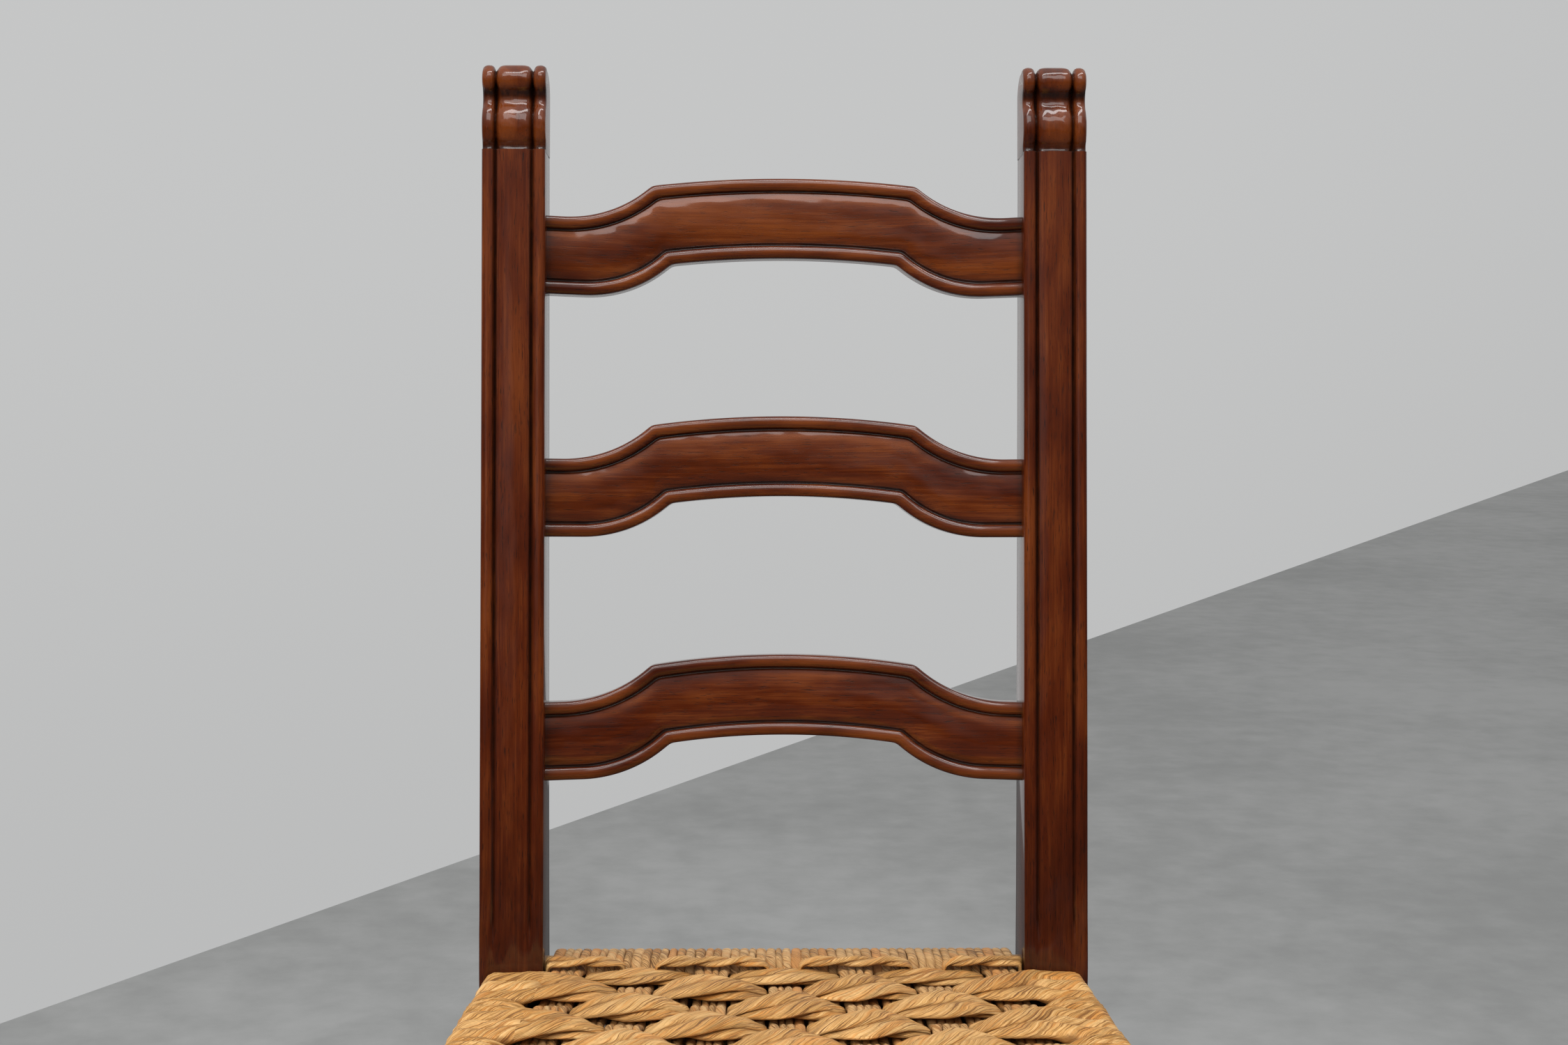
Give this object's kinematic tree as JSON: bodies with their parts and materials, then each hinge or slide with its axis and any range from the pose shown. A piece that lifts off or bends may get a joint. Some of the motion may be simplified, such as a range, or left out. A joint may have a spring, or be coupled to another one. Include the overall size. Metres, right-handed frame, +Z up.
{
  "type": "ladderback chair",
  "caption": "Ladderback dining chair with reeded posts, carved scroll finials, bowed serpentine slats and a woven rush seat.",
  "frame": {"origin": "on the floor, under the middle of the chair's bounding box", "axes": "+Z up, +Y towards the back of the chair, +X to its left as one sits, which is to the right seen from the front"},
  "size_m": [0.486, 0.5162, 1.0969],
  "materials": {
    "post_wood": "dark stained hardwood under gloss lacquer",
    "slat_wood": "dark stained hardwood under gloss lacquer, glazed in the quirks",
    "stretcher_wood": "dark stained hardwood under gloss lacquer",
    "rail_wood": "plain planed hardwood, hidden under the weave",
    "warp_cord": "tightly rolled rush cord",
    "weft_straw": "loosely twisted golden rush"
  },
  "bodies": {
    "root": {"front_leg_left": "post_wood", "front_leg_right": "post_wood", "rear_post_left": "post_wood", "rear_post_right": "post_wood", "seat_rail_front": "rail_wood", "seat_rail_rear": "rail_wood", "seat_rail_side_left": "rail_wood", "seat_rail_side_right": "rail_wood", "slat_1": "slat_wood", "slat_2": "slat_wood", "slat_3": "slat_wood", "stretcher_front": "stretcher_wood", "stretcher_rear": "stretcher_wood", "stretcher_side_lower_left": "stretcher_wood", "stretcher_side_lower_right": "stretcher_wood", "stretcher_side_upper_left": "stretcher_wood", "stretcher_side_upper_right": "stretcher_wood", "warp_group_01": "warp_cord", "warp_group_02": "warp_cord", "warp_group_03": "warp_cord", "warp_group_04": "warp_cord", "warp_group_05": "warp_cord", "warp_group_06": "warp_cord", "warp_group_07": "warp_cord", "warp_group_08": "warp_cord", "warp_group_09": "warp_cord", "warp_group_10": "warp_cord", "warp_group_11": "warp_cord", "warp_group_12": "warp_cord", "warp_group_13": "warp_cord", "weft_row_01": "weft_straw", "weft_row_02": "weft_straw", "weft_row_03": "weft_straw", "weft_row_04": "weft_straw", "weft_row_05": "weft_straw", "weft_row_06": "weft_straw", "weft_row_07": "weft_straw", "weft_row_08": "weft_straw", "weft_row_09": "weft_straw", "weft_row_10": "weft_straw", "weft_row_11": "weft_straw", "weft_row_12": "weft_straw"}
  },
  "joints": []
}
